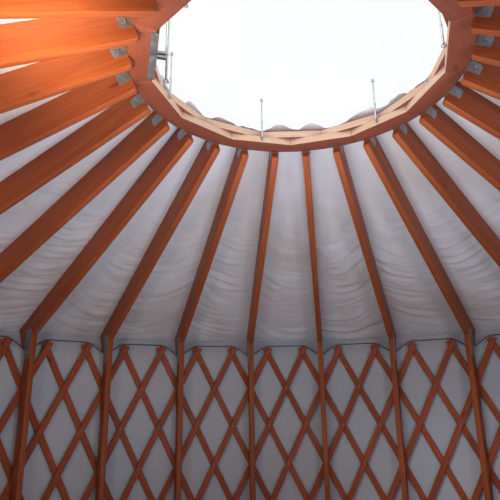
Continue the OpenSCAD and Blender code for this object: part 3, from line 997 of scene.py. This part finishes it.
def mapped(bm, place):
    """Writes a UV map in metres, from what a function gives for a face's azimuth and each of its vertices."""
    layer = bm.loops.layers.uv.new("UVMap")
    for f in bm.faces:
        centre = f.calc_center_median()
        az = math.degrees(math.atan2(centre.x, centre.y))
        for loop in f.loops:
            loop[layer].uv = place(az, loop.vert)


def unrolled(bm, seams, wall):
    """Maps each panel of a cloth as it lies flat between its own seams."""
    panel = 360 / seams

    def place(centre, v):
        middle = (math.floor(centre / panel) + 0.5) * panel
        az, r = polar(v)
        off = math.radians(swing(az, middle))
        if wall:
            return off * LATTICE_R + middle * 0.37, v.co.z
        return off * r + middle * 0.37, r / math.cos(PITCH)

    mapped(bm, place)


def header_top(y):
    """Height of the header's top, which follows the roof line between its two rafters."""
    az = math.radians(BAY / 2)
    return under_z(-y / math.cos(az)) - sizes().rafter_width / 2 * math.sin(az) * SLOPE - 0.0005


def above_header(bm):
    """Cuts a cloth over the doorway where it meets the header's top."""
    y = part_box("door_header")[0][1]
    slope = (header_top(y + 0.1) - header_top(y)) / 0.1
    bmesh.ops.bisect_plane(
        bm,
        geom=bm.verts[:] + bm.edges[:] + bm.faces[:],
        plane_co=(0, y, header_top(y) + 0.0005),
        plane_no=(0, -slope, 1),
        clear_inner=True,
    )


def crease(x, y, seed):
    """Soft creases as a height from -1 to 1."""
    return noise.noise(Vector((x, y, 0)) + Vector((seed * 7.31, seed * 3.17, seed * 5.03)))


def ridge(value):
    """Turns soft noise into thin ridges where it crosses zero, as where taut cloth creases."""
    return max(0.0, 1 - abs(value) * 4.5) ** 2


def pushed(bm, push):
    """Moves a cloth outwards by what the function gives for each point's azimuth and height."""
    for v in bm.verts:
        az, r = polar(v)
        widen(v, 1 + push(az, v.co.z) / r)


def wall_cloth(out, foot, below, seams, push):
    """A cloth round the wall, so far out from the lining's inner face, with its strip over the doorway."""
    profile = [
        (LINING_R + out, foot),
        (LINING_R + out, WALL_BEND_Z),
        (TAIL_R + 0.002 + out, under_z(TAIL_R)),
        (EAVE_R + out, top_z(EAVE_R) - below),
    ]
    bm = rolled(along_profile(profile, 0.06), 300, -180 + DOOR_GAP, 360 - 2 * DOOR_GAP)
    pushed(bm, push)
    unrolled(bm, seams, True)
    over = rolled(along_profile(profile[1:], 0.03), 24, 180 - DOOR_GAP, 2 * DOOR_GAP)
    above_header(over)
    unrolled(over, seams, True)
    given(bm, over)
    return bm


def billow(az, z):
    """How far the wall lining stands out, where it hangs loose."""
    loose = share((RIVET_Z - z) / 0.3) * min(1.0, z / 0.2 + 0.3)
    push = 0.003 * (1 + crease(az * 0.12, z * 0.5, 11)) + 0.001 * crease(az * 0.5, z * 2, 12)
    return max(0.0, loose * push)


def bulge(az, z):
    """How far the wall cover stands out from the lattice, where it hangs loose."""
    loose = share((RIVET_Z - z) / 0.3)
    return loose * (0.003 * (1 + crease(az * 0.10, z * 0.35, 31)) + 0.001 * crease(az * 0.45, z * 1.5, 32))


def flutter(az, z):
    """How far the valance stands out, from none at the eave."""
    return 0.0022 * (top_z(VALANCE_R) + ROOF_T - z) / 0.15 * (1 + crease(az * 0.35, z * 2, 22)) - 0.001


def banded(bm, place, push, thick):
    """Makes a mapped band of a strip of cloth, moved out with the cloth under it."""
    mapped(bm, place)
    pushed(bm, push)
    bmesh.ops.solidify(bm, geom=bm.faces[:], thickness=thick)
    bmesh.ops.recalc_face_normals(bm, faces=bm.faces)
    return bm


def tape(profile, az, push, thick):
    """A tape that runs up a round cloth, mapped across and along it."""
    half = math.degrees(TAPE_W / 2 / profile[0][0])

    def place(_, v):
        turn, r = polar(v)
        return math.radians(swing(turn, az)) * r, v.co.z

    return banded(rolled(profile, 2, az - half, 2 * half), place, push, thick)


def hem(r, low, high, steps, start, angle, push, thick):
    """A band along the edge of a round cloth, mapped across and along it."""

    def place(centre, v):
        return v.co.z - (low + high) / 2, math.radians(centre + swing(polar(v)[0], centre)) * r

    return banded(rolled(along_profile([(r, low), (r, high)], 0.02), steps, start, angle), place, push, thick)


class YURT_OT_linings(bpy.types.Operator):
    """Roof lining that hangs between the rafters, and wall lining behind the lattice"""

    bl_idname = "yurt.linings"
    bl_label = "Linings"

    def execute(self, context):
        calm_r, rim_r = SHOULDER_R + 0.5, VALANCE_R - 0.012
        inner = (RING_CORNER_R + 0.004, RING_TOP_Z + LINING_T / 2)
        shoulder = (SHOULDER_R, RING_TOP_Z + LINING_T / 2)
        calm, rim = ((r, top_z(r) + LINING_T / 2) for r in (calm_r, rim_r))
        profile = along_profile([inner, shoulder], 0.016)[:-1]
        profile += along_profile([shoulder, calm], 0.020)[:-1]
        profile += along_profile([calm, rim], 0.010)
        bm = rolled(profile, RAFTERS * 18)
        bays = [self.swags(number) for number in range(RAFTERS)]
        for v in bm.verts:
            az, r = polar(v)
            if r < SHOULDER_R:
                # The free edge over the ring is ruffled
                free = share((RING_R - 0.02 - r) / 0.06)
                ruffle = crease(az * 0.09, 0, 3) + 0.22 * crease(az * 0.30, 0, 4)
                v.co.z += free * 0.030 * (1 + math.tanh(2.2 * ruffle))
                widen(v, 1 - free * 0.010 * (0.4 + crease(az * 0.09, 5, 5)) / r)
            else:
                place = (az - BAY / 2) / BAY
                v.co.z -= self.drop(bays[math.floor(place) % RAFTERS], place % 1, r)
        unrolled(bm, LINING_PANELS, False)
        roof = piece("roof_lining_cloth", bm, lining_cloth, ["roof_lining"], 0)
        bm = wall_cloth(LINING_T / 2, 0.006, 0.004, LINING_PANELS, billow)
        wall = piece("wall_lining_cloth", bm, wall_lining_cloth, ["wall_lining"], 0)
        return {"FINISHED"}

    def swags(self, number):
        """How the lining hangs in one bay, with a few sharp creases as pairs of points on the flat cloth."""
        dice = random.Random(900 + number)
        bay = {
            "seed": number * 3.7,
            "slack": dice.uniform(0.75, 1.25),
            "low": dice.uniform(0.30, 0.75),
            "dip": dice.uniform(0.0, 0.06),
            "tilt": dice.choice((-1, 1)) * dice.uniform(0.03, 0.20),
            "loose": dice.uniform(0.6, 1.35),
            "creases": [],
        }
        for _ in range(5):
            r = dice.uniform(1.35, 2.2)
            start = Vector((dice.uniform(-0.20, 0.20) * r * 0.5, r))
            lean = dice.choice((-1, 1)) * dice.uniform(0.3, 0.9)
            long = dice.uniform(0.05, 0.13)
            bay["creases"].append((start, start + long * Vector((math.cos(lean), math.sin(lean)))))
        return bay

    def drop(self, bay, across, r):
        """How far a point of the lining hangs below the straight line; across runs from rafter to rafter."""
        down = (r - SHOULDER_R) / (VALANCE_R - SHOULDER_R)
        width = r * math.radians(BAY)
        hollow = math.sin(math.pi * across)
        hang = sizes().sag * bay["slack"] * hollow**1.1 * min(1.0, down * 5) * min(1.0, width / 0.5)
        hang *= min(1.0, (1 - down) * 16 + 0.4)
        low = bay["low"]
        side = across / low if across < low else (1 - across) / (1 - low)
        line = r - bay["dip"] * math.sin(math.pi / 2 * side) - bay["tilt"] * (across - 0.5)
        line += 0.035 * crease(r * 3.5, across * 1.6 + bay["seed"], 6)

        def waves(often, skew, seed):
            return crease(line * often, across * skew + bay["seed"], seed)

        fine = waves(40, 1.3, 1) + 0.4 * ridge(waves(24, 1.5, 9))
        middle = waves(17, 1.1, 2) + 0.6 * ridge(waves(12, 1.2, 7))
        patch = bay["loose"] * min(1.0, max(0.25, 0.8 + 1.8 * waves(2.5, 1.5, 8)))
        folded = share((down - 0.14) / 0.40)
        folded *= folded * patch * (0.35 + 0.65 * hollow**0.5) * min(1.0, (1 - down) * 14)
        broad = 0.5 * waves(6, 1.2, 4) * hollow * min(1.0, down * 3)
        fold = sizes().crease * (folded * (1.05 * fine + 0.80 * middle - 0.2) + broad)
        here = Vector(((across - 0.5) * width, r))
        for start, end in bay["creases"]:
            if abs(here.y - start.y) < 0.16:
                way = end - start
                part = share((here - start).dot(way) / way.length_squared)
                away = (here - start - part * way).length
                fold += 0.0080 * math.exp(-((away / 0.011) ** 2)) * (1 - abs(2 * part - 1) ** 3)
        return max(-0.004, hang - fold)


class YURT_OT_covers(bpy.types.Operator):
    """Roof cover with its valance, and wall cover, with their seams and hems"""

    bl_idname = "yurt.covers"
    bl_label = "Covers"

    def execute(self, context):
        self.roof()
        self.wall()
        return {"FINISHED"}

    def roof(self):
        seams = sizes().roof_seams
        rim = VALANCE_R + 0.004
        edge_z = FLANGE_Z - 0.001
        eave_z = top_z(VALANCE_R) + ROOF_T
        foot = eave_z - 0.150
        eave = [(rim - 0.006, eave_z + 0.003), (rim - 0.001, eave_z - 0.004), (rim, eave_z - 0.02)]
        profile = [(0.732, edge_z), (SHOULDER_R, edge_z), *eave, (rim, foot)]
        bm = rolled(along_profile(profile, 0.05), RAFTERS * 12)
        for v in bm.verts:
            az, r = polar(v)
            if SHOULDER_R + 0.001 < r < rim - 0.02:
                bay = ((az - BAY / 2) / BAY) % 1
                down = (r - SHOULDER_R) / (rim - SHOULDER_R)
                v.co.z -= 0.0045 * math.sin(math.pi * bay) * min(1, down * 4) * min(1, (1 - down) * 8)
                v.co.z += 0.0015 * crease(v.co.x * 3, v.co.y * 3, 21)
            elif r > rim - 0.02 and v.co.z < eave_z - 0.03:
                widen(v, 1 + flutter(az, v.co.z) / r)
        unrolled(bm, seams, False)
        nodes = [f"roof_cover_{n}" for n in range(1, 9)]
        cover = piece("roof_cover_canvas", bm, roof_cover_cloth, nodes, 50)

        tapes = scratch()
        length = (rim - SHOULDER_R) / math.cos(PITCH) - 0.004
        strip = stick(TAPE_W, length, 0.0024, 0.0008, cuts=40, segments=1)
        place = moved(0, SHOULDER_R, FLANGE_Z) @ ROOF_TILT @ moved(0, length / 2, 0.0006)
        for k in range(seams):
            poured(tapes, strip, turned(-180 + k * 360 / seams) @ place)
        strip.free()
        flat = tapes.verts.layers.float_vector["grain"]
        mapped(tapes, lambda _, v: v[flat].xy)
        tapes = piece("roof_seam_tapes", tapes, roof_tape)
        edge = hem(rim + 0.0022, foot - 0.001, foot + 0.030, 312, 0, 360, flutter, 0.0016)
        edge = piece("valance_hem", edge, roof_tape)

    def wall(self):
        seams = sizes().wall_seams
        out = ROOF_T - 0.001
        nodes = [f"wall_cover_{n}" for n in range(1, 9)] + ["wall_cover_over_door"]
        bm = wall_cloth(out, 0.004, 0.008, seams, bulge)
        hung = piece("wall_cover_canvas", bm, wall_cover_cloth, nodes, 0)

        tapes = bmesh.new()
        thick = 0.0014
        face = LINING_R + out + 0.0018
        upright = along_profile([(face, 0.006), (face, WALL_BEND_Z)], 0.06)
        jamb = 180 - DOOR_GAP - math.degrees(0.017 / face)
        for az in [-180 + (k + 0.5) * 360 / seams for k in range(seams)] + [-jamb, jamb]:
            given(tapes, tape(upright, az, bulge, thick))
        around = (300, -180 + DOOR_GAP, 360 - 2 * DOOR_GAP)
        given(tapes, hem(face + 0.0012, 0.004, 0.044, *around, bulge, thick))
        tapes = piece("wall_seams_and_hem", tapes, wall_tape)


def bubble_z(r, foot, rise):
    """Height of a bubble above its flange."""
    return rise * math.sqrt(1 - min(r / foot, 1) ** 2)


def bubble(foot, rise, steps=22):
    """A bubble's profile, from its foot to its top."""
    radii = [foot * math.cos(math.radians(90 * k / steps)) for k in range(steps + 1)]
    return [(r, FLANGE_Z + bubble_z(r, foot, rise)) for r in radii]


class YURT_OT_skylight(bpy.types.Operator):
    """Clear dome on its flange, the rods that hold it down, and its opener"""

    bl_idname = "yurt.skylight"
    bl_label = "Skylight"

    def execute(self, context):
        thick = 0.006
        outer, inner = (0.725, 0.360), (0.725 - thick, 0.360 - thick)
        face = FLANGE_Z + thick
        flange = [(inner[0], FLANGE_Z), (0.775, FLANGE_Z), (0.777, FLANGE_Z + 0.003), (0.775, face)]
        over = [p for p in bubble(*outer) if p[1] > FLANGE_Z + 0.012]
        under = [p for p in reversed(bubble(*inner)) if p[1] > FLANGE_Z + 0.004]
        bm = rolled([*flange, (outer[0] + 0.006, face), *over, *under, flange[0]], 96)
        bmesh.ops.remove_doubles(bm, verts=bm.verts, dist=0.00005)
        bmesh.ops.delete(bm, geom=[e for e in bm.edges if not e.link_faces], context="EDGES")
        bmesh.ops.recalc_face_normals(bm, faces=bm.faces)
        piece("skylight_bubble", bm, dome_acrylic, ["skylight_dome"], 40)

        screws = bmesh.new()
        head = bolt(0.0055, 0.004, 0.0085)
        for k in range(24):
            poured(screws, head, turned(15 * k + 7.5) @ moved(0, 0.754, face - 0.0002))
        head.free()
        piece("flange_screws", screws, bright_steel)

        rods = bmesh.new()
        radius = 0.0035
        rod_r = RING_FLAT_R - 0.009 - radius
        eye_z = (RING_Z + RING_JOINT_Z) / 2
        top = FLANGE_Z + bubble_z(rod_r + radius, *inner) - 0.001
        for az in range(-15, 345, 60):
            self.rod(rods, turned(az) @ moved(0, rod_r, 0), eye_z, top, radius, 0.012)
            pin = drum(12, 0.0042, 0.0042, RING_FLAT_R - rod_r)
            given(rods, pin, turned(az) @ moved(0, (rod_r + RING_FLAT_R) / 2, eye_z) @ tilted(90, "X"))
        piece("dome_rods_and_eyes", rods, bright_steel, ["dome_hold_down_rods"], 40)

        repaint("opener_channel", galvanised_steel)
        repaint("opener_screw", bright_steel)
        return {"FINISHED"}

    def rod(self, bm, place, eye_z, top, radius, eye):
        """A rod with an eye at its foot, a turnbuckle above it and a nut under the dome."""
        wire = 0.003
        ring = bmesh.new()
        circle = bmesh.ops.create_circle(ring, segments=10, radius=wire)["verts"]
        bmesh.ops.translate(ring, vec=(eye - wire, 0, 0), verts=circle)
        bmesh.ops.spin(
            ring,
            geom=ring.verts[:] + ring.edges[:],
            cent=(0, 0, 0),
            axis=(0, 1, 0),
            angle=math.tau,
            steps=20,
            use_merge=True,
        )
        bmesh.ops.recalc_face_normals(ring, faces=ring.faces)
        given(bm, ring, place @ moved(0, 0, eye_z) @ tilted(90, "Z"))
        foot = eye_z + eye - wire
        stops = (foot, foot + 0.012, foot + 0.085, foot + 0.097, top - 0.014, top)
        for low, high, swell in zip(stops, stops[1:], (1.7, 1.45, 1.8, 1, 2.1), strict=False):
            section = drum(14, radius * swell, radius * swell, high - low)
            rims = [e for e in section.edges if abs(e.verts[0].co.z - e.verts[1].co.z) < 1e-6]
            eased(section, rims, 0.0006)
            given(bm, section, place @ moved(0, 0, (low + high) / 2))


class YURT_OT_doorway(bpy.types.Operator):
    """Boards of the door frame"""

    bl_idname = "yurt.doorway"
    bl_label = "Doorway"

    def execute(self, context):
        for node in ("door_jamb_left", "door_jamb_right", "door_header", "door_threshold"):
            low, high = (Vector(v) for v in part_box(node))
            size = high - low
            if node.startswith("door_jamb"):
                wide, long, deep, turn = size.x, size.z, size.y, "X"
            else:
                wide, long, deep, turn = size.y, size.x, size.z, "Z"
            board = stick(wide, long, deep, 0.003, cuts=3)
            board.transform(moved(*((low + high) / 2)) @ tilted(90, turn))
            if node == "door_header":
                for v in board.verts:
                    if v.co.z > low.z + size.z / 2:
                        v.co.z += header_top(v.co.y) - high.z
            bm = scratch()
            given(bm, board, None, shifted(sum(ord(letter) * k for k, letter in enumerate(node, 1))))
            piece("timber_" + node, bm, door_wood, [node])
        return {"FINISHED"}


class YURT_PT_sidebar(bpy.types.Panel):
    """Lists the steps that dress the yurt"""

    bl_idname = "YURT_PT_sidebar"
    bl_label = "Yurt"
    bl_space_type = "VIEW_3D"
    bl_region_type = "UI"
    bl_category = "Yurt"

    def draw(self, context):
        for step in OPERATORS:
            self.layout.operator(step.bl_idname)
        for group in (context.scene.yurt_sizes, context.scene.yurt_colours):
            box = self.layout.box()
            for key in group.bl_rna.properties.keys():
                if key not in ("rna_type", "name"):
                    box.prop(group, key)


OPERATORS = (
    YURT_OT_stage,
    YURT_OT_rafters,
    YURT_OT_studs,
    YURT_OT_ring,
    YURT_OT_lattice,
    YURT_OT_cable,
    YURT_OT_steel,
    YURT_OT_linings,
    YURT_OT_covers,
    YURT_OT_skylight,
    YURT_OT_doorway,
)
CLASSES = (YurtSizes, YurtColours, *OPERATORS, YURT_PT_sidebar)


def register():
    for cls in CLASSES:
        bpy.utils.register_class(cls)
    bpy.types.Scene.yurt_sizes = PointerProperty(type=YurtSizes)
    bpy.types.Scene.yurt_colours = PointerProperty(type=YurtColours)


def unregister():
    del bpy.types.Scene.yurt_colours
    del bpy.types.Scene.yurt_sizes
    for cls in reversed(CLASSES):
        bpy.utils.unregister_class(cls)


def main():
    register()
    for step in OPERATORS:
        group, name = step.bl_idname.split(".")
        getattr(getattr(bpy.ops, group), name)()


if __name__ == "__main__":
    main()
